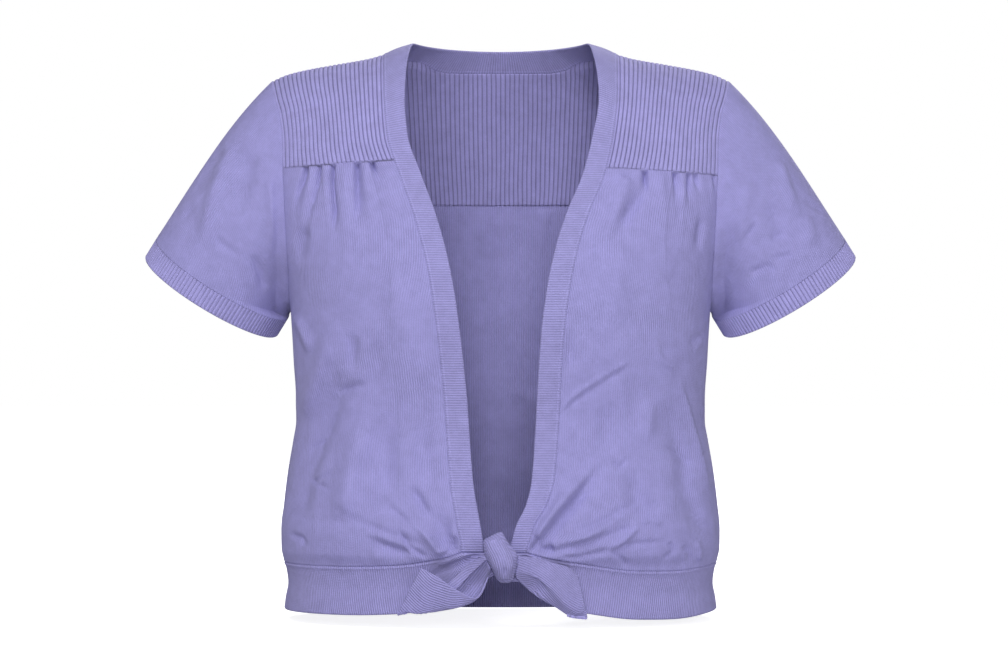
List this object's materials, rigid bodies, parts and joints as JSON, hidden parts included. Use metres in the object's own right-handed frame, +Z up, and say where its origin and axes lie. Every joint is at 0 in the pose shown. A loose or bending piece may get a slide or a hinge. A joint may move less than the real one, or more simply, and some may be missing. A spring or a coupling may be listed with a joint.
{
  "type": "tie-front cardigan",
  "caption": "Short-sleeved cropped cardigan in fine knit, with ribbed yokes, an open front and waistband ends tied in a knot. It keeps the hollow form it has when worn.",
  "frame": {"origin": "midway between the neck band's two highest points, at the shoulders, where a wearer holds it up", "axes": "+X to the wearer's left, +Y to the wearer's back, +Z up"},
  "size_m": [0.6456, 0.2711, 0.5235],
  "materials": {
    "jersey": "matt plain cotton knit",
    "yoke_rib": "matt cotton knit in wide flat ribs",
    "band_rib": "matt ribbed cotton knit, firm edge",
    "tie_rib": "matt fine ribbed cotton knit"
  },
  "bodies": {
    "root": {"front_right": "jersey", "front_left": "jersey", "back": "jersey", "sleeve_right": "jersey", "sleeve_left": "jersey", "front_yoke_right": "yoke_rib", "front_yoke_left": "yoke_rib", "back_yoke": "yoke_rib", "front_band_right": "band_rib", "front_band_left": "band_rib", "cuff_right": "band_rib", "cuff_left": "band_rib", "waistband_back": "tie_rib", "waistband_right": "tie_rib", "waistband_left": "tie_rib", "knot": "tie_rib", "knot_wrap": "tie_rib", "tie_end_right": "tie_rib", "tie_end_left": "tie_rib"}
  },
  "joints": []
}
